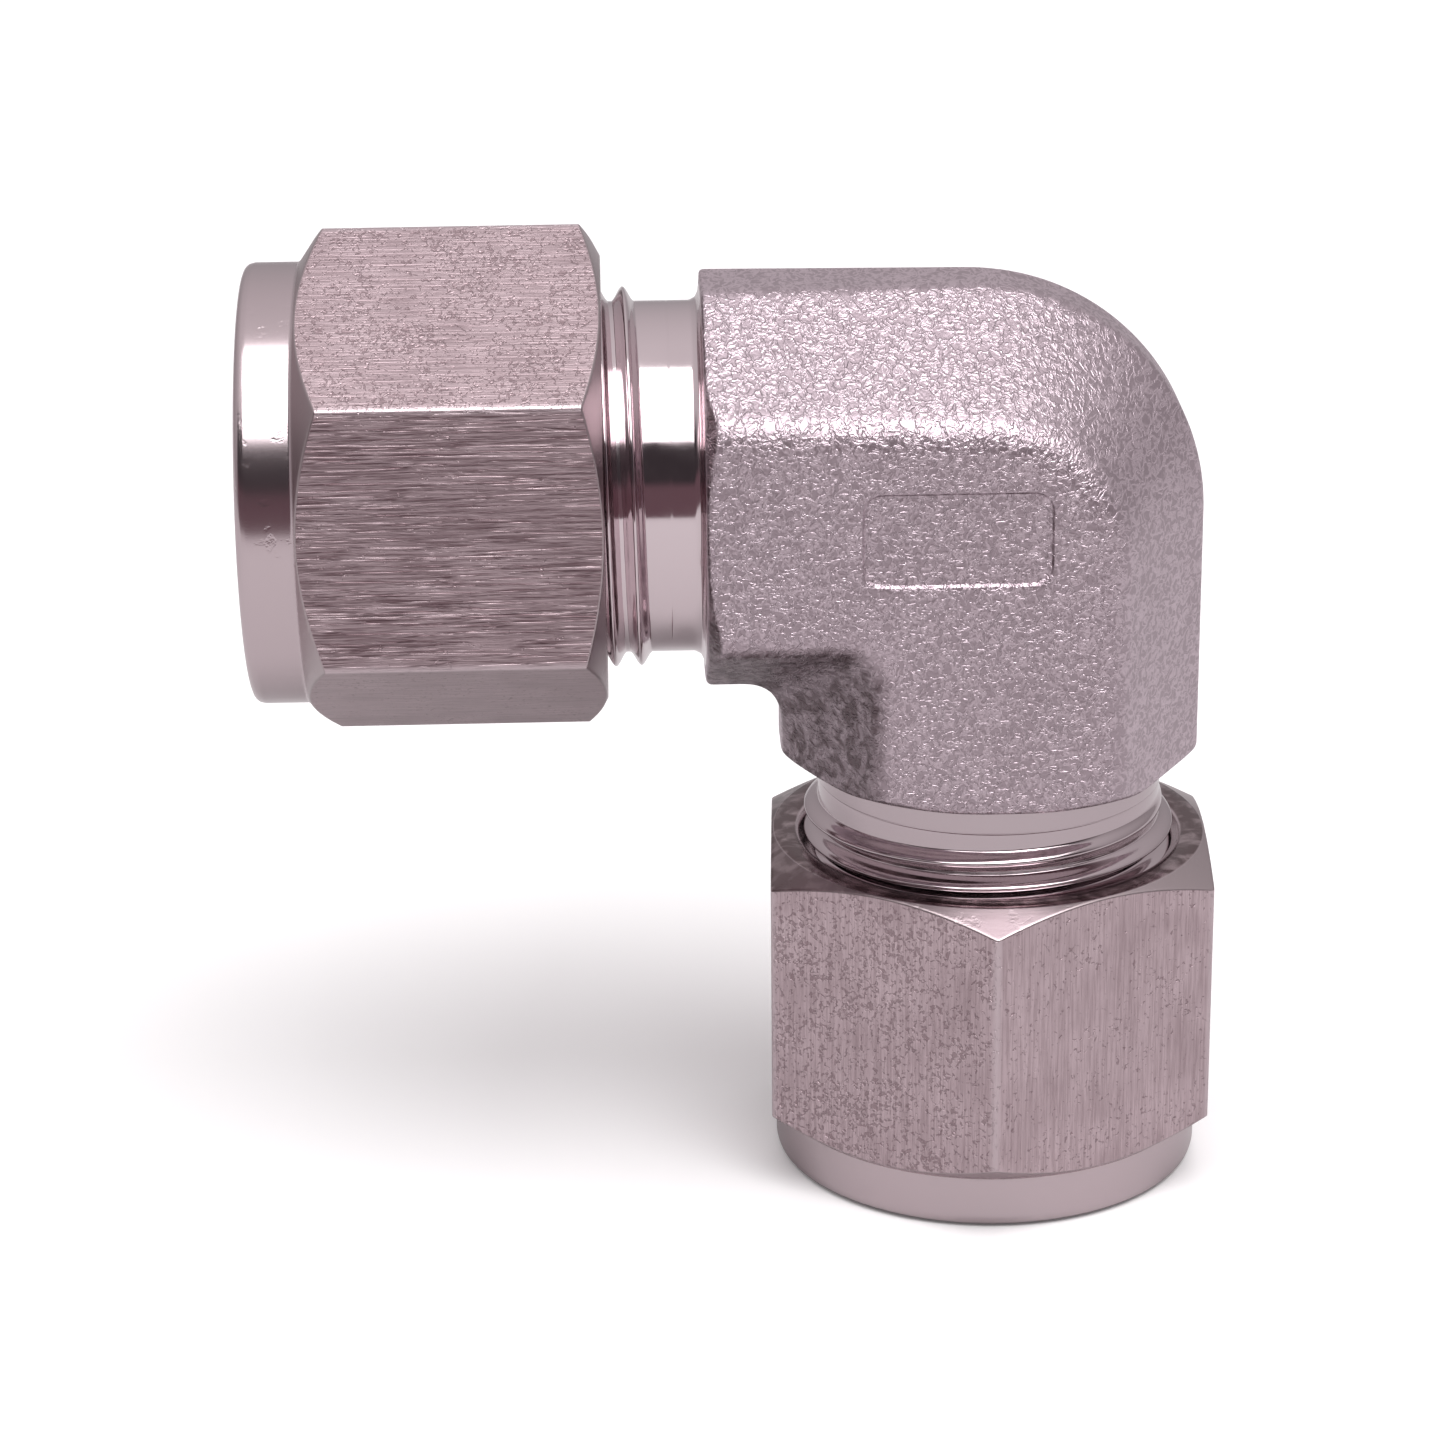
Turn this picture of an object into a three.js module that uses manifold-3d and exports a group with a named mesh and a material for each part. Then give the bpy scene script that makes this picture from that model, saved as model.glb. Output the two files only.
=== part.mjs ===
// A 90 degree union elbow for 1/2 inch (12.7 mm) tube, with a twin-ferrule compression end on each arm.
// Millimetres, +Z up. The origin is where the centre lines of the two tubes cross.
// The left arm runs along -X and the lower arm along -Z. Both arms are drawn in one arm frame:
// its +Z runs outward along the tube, its +X faces the front of the elbow (-Y), and u is its z.
import * as THREE from 'three';
import { mergeVertices } from 'three/addons/utils/BufferGeometryUtils.js';
import Module from 'manifold-3d';

const wasm = await Module();
wasm.setup();

// Straight thread shared by both arms and both nuts: 3/4 inch, 20 turns to the inch, right hand.
const PITCH = 25.4 / 20;
const THREAD = { crest: 9.42, root: 8.7, crestHalf: 0.09, rootHalf: 0.505, runOutTurns: 0.5 };
const GROOVE = { crest: 9.62, root: 8.95, crestHalf: 0.077, rootHalf: 0.464 };
const BURIED = 0.25; // how far a ridge's foot reaches past the surface that it joins or cuts
const ROUND = 32; // facets in a full turn

// Forged elbow body: two arms with front and back wrench flats, long bevels and a trimmed parting strip.
const BODY = {
  flatY: 10.32,
  stripHalfY: 2.15,
  bevelInset: 4.85,
  outerTop: 10.0,
  outerRight: 10.45,
  outerBend: 11.75,
  innerUnder: -10.5,
  innerLeft: -10.65,
  innerFillet: 1.8,
  end: 14.45,
  endRadius: 10.3,
  endSlope: 0.5,
  overrun: 8,
};
const PAD = { x: -2.46, z: -0.3, width: 9.0, height: 4.5, corner: 0.9, depth: 0.2 };
const PORT = { face: 28.0, faceRadius: 8.6, threadStart: 16.95, chamfer: 0.82 };
const BORE = { passage: 5.2, stop: 13.17, socket: 6.45, coneStart: 24.2, coneMouth: 8.1 };

// Female hex nut, measured back from its outer end face.
const NUT = {
  acrossFlats: 22.225,
  length: 17.5,
  collarRadius: 10.92,
  collarLength: 2.68,
  rim: 0.3,
  grooveWidth: 0.2,
  grooveDepth: 0.15,
  outerChamfer: 1.29,
  innerFace: 10.955,
  innerChamfer: 1.0,
  tubeHole: 6.48,
  holeLength: 3.6,
  chamber: 8.45,
  reliefStart: 6.2,
  reliefEnd: 7.6,
  relief: 9.75,
  mouth: 9.85,
};

// Ferrules, measured outward from their noses. Both slip on the tube.
const FERRULE = { bore: 6.42, flange: 8.2 };
const FRONT = { length: 4.9, noseRadius: 6.73, shoulder: 3.39, seatDepth: 1.1, seatRadius: 7.3 };
const BACK = { length: 2.75, noseRadius: 6.62, noseRoot: 7.34, noseLength: 0.9, shoulder: 1.2, tailRadius: 6.65 };

// Where the pieces stand with the nut finger-tight, as u of the nut's outer face and of each nose.
const TIGHT = { nut: 36.07, front: 25.1, back: 29.35 };
const FRONT_SHARE = 0.9; // the front ferrule lags a little behind the nut and the back ferrule

// Each arm: its directions, how far its nut is backed off, its nut's turn and its thread's phase.
const ARMS = [
  { name: 'left', along: [-1, 0, 0], side: [0, 0, 1], backedOff: 0.74, hexTurn: 2.09, threadAt: 17.8725 },
  { name: 'lower', along: [0, 0, -1], side: [-1, 0, 0], backedOff: 0.47, hexTurn: -27.45, threadAt: 18.75 },
];

const STEEL = {
  forged: { color: 0xa89fa4, roughness: 0.5, metalness: 1 },
  nut: { color: 0x9c9095, roughness: 0.38, metalness: 1 },
  ferrule: { color: 0xb0aaac, roughness: 0.25, metalness: 1 },
};

// A closed geometry as a solid: its shared corners are merged and its collapsed faces dropped.
function solid(geometry) {
  const bare = geometry.clone();
  bare.deleteAttribute('normal');
  bare.deleteAttribute('uv');
  const merged = mergeVertices(bare, 1e-4);
  const corners = [];
  for (let i = 0; i < merged.index.count; i += 3) {
    const [a, b, c] = [0, 1, 2].map((k) => merged.index.getX(i + k));
    if (a !== b && b !== c && c !== a) corners.push(a, b, c);
  }
  return new wasm.Manifold(
    new wasm.Mesh({
      numProp: 3,
      vertProperties: merged.attributes.position.array,
      triVerts: new Uint32Array(corners),
    })
  );
}

// A solid as a flat-shaded geometry.
function geometryOf(body) {
  const { vertProperties, triVerts } = body.getMesh();
  const indexed = new THREE.BufferGeometry();
  indexed.setAttribute('position', new THREE.BufferAttribute(vertProperties, 3));
  indexed.setIndex(new THREE.BufferAttribute(triVerts, 1));
  const geometry = indexed.toNonIndexed();
  geometry.computeVertexNormals();
  return geometry;
}

// A body of revolution about z from points [radius, z] that rise from its low end to its high end.
function turned(points) {
  const profile = points.map(([radius, z]) => new THREE.Vector2(radius, z));
  return new THREE.LatheGeometry(profile, ROUND).rotateX(Math.PI / 2);
}

// One helical ridge about z. Its trapezoid section is swept by bending a straight extrusion;
// at is the ridge's height where it faces +x, and runOut is the share of a turn over which it fades in.
function ridge({ crest, root, crestHalf, rootHalf }, at, from, to, runOut) {
  const foot = root - BURIED;
  const section = new THREE.Shape([
    new THREE.Vector2(foot, -rootHalf),
    new THREE.Vector2(root, -rootHalf),
    new THREE.Vector2(crest, -crestHalf),
    new THREE.Vector2(crest, crestHalf),
    new THREE.Vector2(root, rootHalf),
    new THREE.Vector2(foot, rootHalf),
  ]);
  const first = Math.floor(((from - at) / PITCH) * ROUND);
  const last = Math.ceil(((to - at) / PITCH) * ROUND);
  const steps = last - first;
  const geometry = new THREE.ExtrudeGeometry(section, { depth: steps, steps, bevelEnabled: false });
  const place = geometry.attributes.position;
  for (let i = 0; i < place.count; i += 1) {
    const step = steps - place.getZ(i);
    const turns = (first + step) / ROUND;
    const fade = Math.min(1, (step / ROUND + BURIED * runOut) / (runOut || 1e-9));
    const radius = foot + (place.getX(i) - foot) * fade;
    const angle = turns * 2 * Math.PI;
    place.setXYZ(i, radius * Math.cos(angle), radius * Math.sin(angle), place.getY(i) + at + turns * PITCH);
  }
  return geometry;
}

// The matrix that lays the arm frame along an arm.
function armMatrix({ along, side }) {
  const outward = new THREE.Vector3(...along);
  const second = new THREE.Vector3(...side);
  const first = second.clone().cross(outward);
  return new THREE.Matrix4().makeBasis(first, second, outward);
}

// The elbow seen from the front, with the arm ends overrun so that their bevels are cut off later.
function elbowOutline() {
  const beyond = -(BODY.end + BODY.overrun);
  const bend = { x: BODY.outerRight - BODY.outerBend, z: BODY.outerTop - BODY.outerBend };
  const fillet = { x: BODY.innerLeft - BODY.innerFillet, z: BODY.innerUnder - BODY.innerFillet };
  const outline = new THREE.Shape();
  outline.moveTo(beyond, BODY.outerTop);
  outline.lineTo(beyond, BODY.innerUnder);
  outline.absarc(fillet.x, fillet.z, BODY.innerFillet, Math.PI / 2, 0, true);
  outline.lineTo(BODY.innerLeft, beyond);
  outline.lineTo(BODY.outerRight, beyond);
  outline.absarc(bend.x, bend.z, BODY.outerBend, 0, Math.PI / 2, false);
  outline.closePath();
  return outline;
}

// The forging: the outline given thickness, bevelled on both sides down to the parting strip.
function forging() {
  const thick = new THREE.ExtrudeGeometry(elbowOutline(), {
    depth: 2 * BODY.stripHalfY,
    bevelThickness: BODY.flatY - BODY.stripHalfY,
    bevelSize: BODY.bevelInset,
    bevelOffset: -BODY.bevelInset,
    bevelSegments: 1,
    curveSegments: 12,
  });
  thick.translate(0, 0, -BODY.stripHalfY).rotateX(Math.PI / 2);
  return solid(thick).intersect(endCut(ARMS[0])).intersect(endCut(ARMS[1]));
}

// Everything inward of one arm's end face, which is flat as far as endRadius and slopes back outside it.
function endCut(arm) {
  const wide = 40;
  const inward = turned([
    [0, -wide],
    [wide, -wide],
    [wide, BODY.end - BODY.endSlope * (wide - BODY.endRadius)],
    [BODY.endRadius, BODY.end],
    [0, BODY.end],
  ]);
  return solid(inward.applyMatrix4(armMatrix(arm)));
}

// Neck, thread and port face of one arm, in the arm frame.
function spigot(threadAt) {
  const core = turned([
    [0, BORE.stop - BORE.passage],
    [THREAD.root, BORE.stop - BORE.passage],
    [THREAD.root, PORT.face],
    [0, PORT.face],
  ]);
  const envelope = turned([
    [0, 0],
    [THREAD.crest + 1, 0],
    [THREAD.crest + 1, PORT.face - PORT.chamfer - 1],
    [PORT.faceRadius, PORT.face],
    [0, PORT.face],
  ]);
  const helix = ridge(THREAD, threadAt, PORT.threadStart, PORT.face + PITCH, THREAD.runOutTurns);
  return solid(core).add(solid(helix)).intersect(solid(envelope));
}

// The hollow of one arm: flow passage, tube stop, tube socket and ferrule cone.
function armHollow() {
  const slope = (BORE.coneMouth - BORE.socket) / (PORT.face - BORE.coneStart);
  const past = 1;
  return solid(
    turned([
      [0, 0],
      [BORE.passage, 0],
      [BORE.passage, BORE.stop],
      [BORE.socket, BORE.stop],
      [BORE.socket, BORE.coneStart],
      [BORE.coneMouth + slope * past, PORT.face + past],
      [0, PORT.face + past],
    ])
  );
}

// A blank rounded recess where a maker would stamp a mark.
function markPad() {
  const [w, h, r] = [PAD.width / 2, PAD.height / 2, PAD.corner];
  const outline = new THREE.Shape();
  outline.absarc(w - r, h - r, r, 0, Math.PI / 2, false);
  outline.absarc(r - w, h - r, r, Math.PI / 2, Math.PI, false);
  outline.absarc(r - w, r - h, r, Math.PI, 1.5 * Math.PI, false);
  outline.absarc(w - r, r - h, r, 1.5 * Math.PI, 2 * Math.PI, false);
  const block = new THREE.ExtrudeGeometry(outline, { depth: 2, bevelEnabled: false, curveSegments: 4 });
  return solid(block.rotateX(Math.PI / 2).translate(PAD.x, PAD.depth - BODY.flatY, PAD.z));
}

function elbowBody() {
  let body = forging().subtract(markPad());
  for (const arm of ARMS) {
    body = body.add(spigot(arm.threadAt).transform(armMatrix(arm).elements));
  }
  for (const arm of ARMS) {
    body = body.subtract(armHollow().transform(armMatrix(arm).elements));
  }
  const corner = new THREE.SphereGeometry(BORE.passage, ROUND, ROUND / 2);
  return geometryOf(body.subtract(solid(corner)));
}

// Outside of the nut as a body of revolution: collar, corner groove and the chamfers of both ends.
function nutEnvelope() {
  const corner = NUT.acrossFlats / Math.sqrt(3);
  const inner = -NUT.length;
  const groove = -NUT.collarLength;
  return turned([
    [0, inner],
    [NUT.innerFace, inner],
    [corner, inner + NUT.innerChamfer],
    [corner, groove - NUT.grooveWidth - NUT.outerChamfer],
    [NUT.collarRadius, groove - NUT.grooveWidth],
    [NUT.collarRadius - NUT.grooveDepth, groove - NUT.grooveWidth / 2],
    [NUT.collarRadius, groove],
    [NUT.collarRadius, -NUT.rim],
    [NUT.collarRadius - NUT.rim, 0],
    [0, 0],
  ]);
}

// Inside of the nut: thread mouth, thread bore, relief, ferrule chamber, drive cone and tube hole.
function nutHollow() {
  const past = 1;
  const mouthDepth = NUT.mouth - GROOVE.root;
  const coneLength = NUT.chamber - NUT.tubeHole;
  return turned([
    [0, -NUT.length - past],
    [NUT.mouth + past, -NUT.length - past],
    [GROOVE.root, mouthDepth - NUT.length],
    [GROOVE.root, -NUT.reliefEnd],
    [NUT.relief, -NUT.reliefEnd],
    [NUT.relief, -NUT.reliefStart],
    [NUT.chamber, -NUT.reliefStart],
    [NUT.chamber, -NUT.holeLength - coneLength],
    [NUT.tubeHole, -NUT.holeLength],
    [NUT.tubeHole, -NUT.rim],
    [NUT.tubeHole + NUT.rim + past, past],
    [0, past],
  ]);
}

// The nut with its outer end face at z = 0. threadAt places its groove where it faces +x.
function nut(hexTurn, threadAt) {
  const corner = NUT.acrossFlats / Math.sqrt(3);
  const bar = new THREE.CylinderGeometry(corner, corner, NUT.length, 6).rotateX(Math.PI / 2);
  bar.rotateZ(THREE.MathUtils.degToRad(hexTurn)).translate(0, 0, -NUT.length / 2);
  const reliefMiddle = -(NUT.reliefStart + NUT.reliefEnd) / 2;
  const groove = ridge(GROOVE, threadAt, -NUT.length - PITCH, reliefMiddle, 0);
  const blank = solid(bar).intersect(solid(nutEnvelope()));
  return geometryOf(blank.subtract(solid(nutHollow())).subtract(solid(groove)));
}

// The front ferrule: a cone that wedges into the port, with a seat for the back ferrule behind.
function frontFerrule() {
  return turned([
    [FERRULE.bore, FRONT.length - FRONT.seatDepth],
    [FERRULE.bore, 0],
    [FRONT.noseRadius, 0],
    [FERRULE.flange, FRONT.shoulder],
    [FERRULE.flange, FRONT.length],
    [FRONT.seatRadius, FRONT.length],
    [FERRULE.bore, FRONT.length - FRONT.seatDepth],
  ]);
}

// The back ferrule: a short nose that dives under the front ferrule, and a 45 degree tail.
function backFerrule() {
  return turned([
    [FERRULE.bore, BACK.length],
    [FERRULE.bore, 0],
    [BACK.noseRadius, 0],
    [BACK.noseRoot, BACK.noseLength],
    [FERRULE.flange, BACK.noseLength],
    [FERRULE.flange, BACK.shoulder],
    [BACK.tailRadius, BACK.length],
    [FERRULE.bore, BACK.length],
  ]);
}

function mesh(name, geometry, steel, u) {
  const piece = new THREE.Mesh(geometry, new THREE.MeshStandardMaterial(steel));
  piece.name = name;
  piece.position.z = u;
  return piece;
}

// The three loose pieces of one arm, where they stand with the nut backed off.
function looseEnd(arm) {
  const group = new THREE.Group();
  const nutAt = TIGHT.nut + arm.backedOff;
  group.add(mesh(`${arm.name}_nut`, nut(arm.hexTurn, arm.threadAt - nutAt), STEEL.nut, nutAt));
  const frontAt = TIGHT.front + FRONT_SHARE * arm.backedOff;
  group.add(mesh(`${arm.name}_front_ferrule`, frontFerrule(), STEEL.ferrule, frontAt));
  group.add(mesh(`${arm.name}_back_ferrule`, backFerrule(), STEEL.ferrule, TIGHT.back + arm.backedOff));
  group.applyMatrix4(armMatrix(arm));
  return group;
}

const fitting = new THREE.Group();
fitting.add(mesh('elbow_body', elbowBody(), STEEL.forged, 0));
for (const arm of ARMS) {
  fitting.add(looseEnd(arm));
}

export default fitting;
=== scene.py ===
import math

import bmesh
import bpy
import numpy as np
from mathutils import Matrix, Quaternion, Vector


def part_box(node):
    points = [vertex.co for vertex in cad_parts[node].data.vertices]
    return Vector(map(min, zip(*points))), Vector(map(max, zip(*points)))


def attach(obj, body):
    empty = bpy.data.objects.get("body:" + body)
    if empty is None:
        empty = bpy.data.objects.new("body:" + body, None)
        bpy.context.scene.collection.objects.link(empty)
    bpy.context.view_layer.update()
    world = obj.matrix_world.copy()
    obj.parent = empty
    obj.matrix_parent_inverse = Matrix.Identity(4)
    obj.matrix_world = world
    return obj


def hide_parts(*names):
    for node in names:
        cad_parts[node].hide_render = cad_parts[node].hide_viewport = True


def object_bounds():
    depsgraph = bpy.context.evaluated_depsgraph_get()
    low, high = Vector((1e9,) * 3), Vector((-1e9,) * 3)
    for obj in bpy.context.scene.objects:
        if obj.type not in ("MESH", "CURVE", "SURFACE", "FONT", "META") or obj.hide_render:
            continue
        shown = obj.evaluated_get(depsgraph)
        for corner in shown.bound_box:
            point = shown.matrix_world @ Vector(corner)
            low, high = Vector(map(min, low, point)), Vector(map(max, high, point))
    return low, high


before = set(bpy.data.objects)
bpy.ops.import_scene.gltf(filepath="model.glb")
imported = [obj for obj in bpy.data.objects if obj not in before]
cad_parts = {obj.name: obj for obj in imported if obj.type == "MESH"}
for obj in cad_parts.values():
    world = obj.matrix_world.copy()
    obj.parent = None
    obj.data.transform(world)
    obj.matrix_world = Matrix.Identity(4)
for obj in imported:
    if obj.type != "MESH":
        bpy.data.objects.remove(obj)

CAD_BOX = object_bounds()
MM = 0.001

# Driving sizes in millimetres. u runs outward along an arm from the crossing of the tube lines.
PITCH = 25.4 / 20
CREST, ROOT = 9.42, 8.71
GROOVE_CREST, GROOVE_ROOT = 9.62, 8.95
PORT_FACE, PORT_CHAMFER, THREAD_START, TOOL_MARK = 28.0, 8.6, 16.95, 16.09
TUBE_STOP, SOCKET, PASSAGE = 13.17, 6.45, 5.2
FLAT_Y, STRIP_Y = 10.32, 1.8
NUT_FLATS, NUT_LENGTH, COLLAR = 22.225, 17.5, 10.92
FERRULE_BORE, FLANGE = 6.42, 8.2
FLANK_ROUNDING, RUN_OUT = 0.05, 0.8
THREAD_FORM = {"root": ROOT, "crest": CREST, "crest_half": 0.045, "root_half": 0.53}
GROOVE_FORM = {"root": GROOVE_ROOT, "crest": GROOVE_CREST, "crest_half": 0.06, "root_half": 0.47}


# ---------------------------------------------------------------- the two arms, read from the frame

def arm(name, along, side, thread_at, hex_turn):
    """An arm's directions and the u of its nut's outer face and its ferrules' noses, from the CAD boxes."""
    axis = Vector(along)

    def span(node):
        low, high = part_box(node)
        ends = [axis.dot(low) / MM, axis.dot(high) / MM]
        return min(ends), max(ends)

    second = Vector(side)
    turn = Matrix((second.cross(axis), second, axis)).transposed()
    return {
        "name": name,
        "turn": np.array(turn),
        "thread_at": thread_at,
        "hex_turn": math.radians(hex_turn),
        "nut": span(f"{name}_nut")[1],
        "front": span(f"{name}_front_ferrule")[0],
        "back": span(f"{name}_back_ferrule")[0],
    }


LEFT = arm("left", (-1, 0, 0), (0, 0, 1), 17.8725, 32.09)
LOWER = arm("lower", (0, 0, -1), (-1, 0, 0), 18.75, 2.55)
ARMS = (LEFT, LOWER)


# ---------------------------------------------------------------- mesh helpers

def object_from(name, points, faces, face_slots=None):
    """A smooth-shaded mesh object from points in millimetres, with its faces turned outward."""
    points = np.asarray(points, dtype=np.float64).reshape(-1, 3)
    faces = np.asarray(faces, dtype=np.int32)
    a, b, c, d = (points[faces[:, i]] for i in range(4))
    volume = np.einsum("ij,ij->", a, np.cross(b, c)) + np.einsum("ij,ij->", a, np.cross(c, d))
    if volume < 0:
        faces = faces[:, ::-1]
    mesh = bpy.data.meshes.new(name)
    mesh.vertices.add(len(points))
    mesh.vertices.foreach_set("co", (points * MM).astype(np.float32).ravel())
    mesh.loops.add(faces.size)
    mesh.loops.foreach_set("vertex_index", faces.ravel())
    mesh.polygons.add(len(faces))
    mesh.polygons.foreach_set("loop_start", np.arange(0, faces.size, 4, dtype=np.int32))
    mesh.polygons.foreach_set("use_smooth", np.ones(len(faces), dtype=bool))
    if face_slots is not None:
        mesh.polygons.foreach_set("material_index", np.asarray(face_slots, dtype=np.int32))
    mesh.update(calc_edges=True)
    mesh.validate()
    piece = bpy.data.objects.new(name, mesh)
    bpy.context.scene.collection.objects.link(piece)
    return piece


def ring_faces(rows, columns):
    """Quads of a grid that closes on itself both ways."""
    index = np.arange(rows * columns, dtype=np.int32).reshape(rows, columns)
    across = np.roll(index, -1, axis=1)
    down = np.roll(index, -1, axis=0)
    both = np.roll(across, -1, axis=0)
    return np.stack([index, across, both, down], axis=-1).reshape(-1, 4)


def softened(corners, radius, steps=3):
    """A closed profile of (radius, u) corners with each corner replaced by a short arc.

    An arc takes up less than half of a side, so two arcs never meet.
    """
    corners = [np.array(c, dtype=float) for c in corners]
    result = []
    for i, here in enumerate(corners):
        back, ahead = corners[i - 1] - here, corners[(i + 1) % len(corners)] - here
        back_size, ahead_size = np.linalg.norm(back), np.linalg.norm(ahead)
        reach = min(radius, back_size / 2.2, ahead_size / 2.2)
        start = here + back / back_size * reach
        end = here + ahead / ahead_size * reach
        for t in np.linspace(0, 1, steps + 1):
            result.append((1 - t) ** 2 * start + 2 * t * (1 - t) * here + t ** 2 * end)
    return result


def divided(profile, longest):
    """The closed profile with long stretches split, so that no step is longer than asked."""
    result = []
    for i, here in enumerate(profile):
        after = profile[(i + 1) % len(profile)]
        count = max(1, math.ceil(np.linalg.norm(after - here) / longest))
        for k in range(count):
            result.append(here + (after - here) * (k / count))
    return np.array(result)


def smooth_step(x):
    x = np.clip(x, 0, 1)
    return x * x * (3 - 2 * x)


def soft_min(a, b, k):
    """The lower of two distances, rounded over about k millimetres where they meet."""
    h = np.clip(0.5 + 0.5 * (b - a) / k, 0, 1)
    return b * (1 - h) + a * h - k * h * (1 - h)


def thread_radius(u, angle, at, root, crest, crest_half, root_half, start=-math.inf):
    """Radius of a screw surface whose ridge passes height `at` where it faces angle 0.

    crest_half and root_half are the ridge's half-widths at its top and its foot. It grows to its full
    height in the RUN_OUT millimetres after start.
    """
    turns = (u - at) / PITCH - angle / (2 * math.pi)
    offset = np.abs(turns - np.round(turns)) * PITCH
    flank = np.clip((root_half - offset) / (root_half - crest_half), 0, 1)
    rounded = flank - FLANK_ROUNDING * np.sin(2 * math.pi * flank)
    ridge_u = at + PITCH * (np.round(turns) + angle / (2 * math.pi))
    return root + (crest - root) * rounded * smooth_step((ridge_u - start) / RUN_OUT)


def placed(one_arm, radius, angle, u):
    """Points of a turned surface, one row for each u, from arm coordinates to the row frame."""
    parts = np.broadcast_arrays(radius * np.cos(angle), radius * np.sin(angle), u)
    return np.stack(parts, axis=-1) @ one_arm["turn"].T


# ---------------------------------------------------------------- elbow forging, as a distance field

OUTER_TOP, OUTER_RIGHT, OUTER_BEND = 10.0, 10.45, 11.75
INNER_UNDER, INNER_LEFT, INNER_CURVE = -10.5, -10.65, 2.1
OUTER_INSET, INNER_INSET = 4.95, 4.55
STRIP_WIDENS, STRIP_RUN = 0.55, 14
END, END_RADIUS, END_SLOPE, END_ROUNDING = 14.45, 10.3, 0.5, 0.15
BEVEL_ROUNDING, EDGE_ROUNDING = 1.0, 0.22
PAD_X, PAD_Z, PAD_HALF_X, PAD_HALF_Z = -2.46, -0.3, 4.53, 2.3
PAD_CORNER, PAD_DEPTH, PAD_EDGE = 0.9, 0.16, 0.16
HOLLOW, HOLLOW_FROM = 7.6, 12.6
GRADIENT_STEP, LONGEST_MOVE, FINE_REACH = 0.01, 0.1, 0.3
GRID_X, GRID_Y, GRID_Z = (-14.9, 11.0), (-10.9, 10.9), (-14.9, 10.6)


def outline_depths(x, z):
    """Depth inside the outer and the inner side of the elbow's outline."""
    bend_x, bend_z = OUTER_RIGHT - OUTER_BEND, OUTER_TOP - OUTER_BEND
    round_outer = OUTER_BEND - np.hypot(x - bend_x, z - bend_z)
    flat_outer = np.minimum(OUTER_RIGHT - x, OUTER_TOP - z)
    outer = np.where((x > bend_x) & (z > bend_z), round_outer, flat_outer)
    inner = -soft_min(INNER_LEFT - x, INNER_UNDER - z, INNER_CURVE)
    return outer, inner


def pad_depth(x, z):
    """Depth inside the outline of the blank mark pad."""
    qx = np.abs(x - PAD_X) - (PAD_HALF_X - PAD_CORNER)
    qz = np.abs(z - PAD_Z) - (PAD_HALF_Z - PAD_CORNER)
    outside = np.hypot(np.maximum(qx, 0), np.maximum(qz, 0)) + np.minimum(np.maximum(qx, qz), 0)
    return PAD_CORNER - outside


def end_depth(u, radius):
    """Depth inside an arm's end face, which is flat as far as END_RADIUS and slopes back outside it."""
    sloped = (END - u - END_SLOPE * (radius - END_RADIUS)) / math.hypot(1, END_SLOPE)
    return soft_min(END - u, sloped, END_ROUNDING)


def forging_field(p):
    """Signed distance into the forging, in millimetres, positive inside."""
    x, y, z = p[..., 0], p[..., 1], p[..., 2]
    depth_y = np.abs(y)
    outer, inner = outline_depths(x, z)
    strip = STRIP_Y + STRIP_WIDENS * np.clip(-x / STRIP_RUN, 0, 1) * (z > 0)
    outer_slope = (FLAT_Y - STRIP_Y) / OUTER_INSET
    inner_slope = (FLAT_Y - STRIP_Y) / INNER_INSET
    outer_bevel = (strip + outer_slope * outer - depth_y) / math.hypot(1, outer_slope)
    inner_bevel = (STRIP_Y + inner_slope * inner - depth_y) / math.hypot(1, inner_slope)
    pressed = PAD_DEPTH * smooth_step(pad_depth(x, z) / PAD_EDGE + 0.5) * (y < 0)
    flat = FLAT_Y - depth_y - pressed
    skin = soft_min(soft_min(flat, outer_bevel, BEVEL_ROUNDING), inner_bevel, BEVEL_ROUNDING)
    body = soft_min(skin, np.minimum(outer, inner), EDGE_ROUNDING)
    ways = ((np.hypot(y, z), -x), (np.hypot(x, y), -z))
    for radius, u in ways:
        body = soft_min(body, end_depth(u, radius), EDGE_ROUNDING)
    for radius, u in ways:
        passage = np.minimum(PASSAGE - radius, u)
        hollow = np.minimum(HOLLOW - radius, u - HOLLOW_FROM)
        body = np.minimum(body, -np.maximum(passage, hollow))
    return np.minimum(body, np.linalg.norm(p, axis=-1) - PASSAGE)


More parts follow.
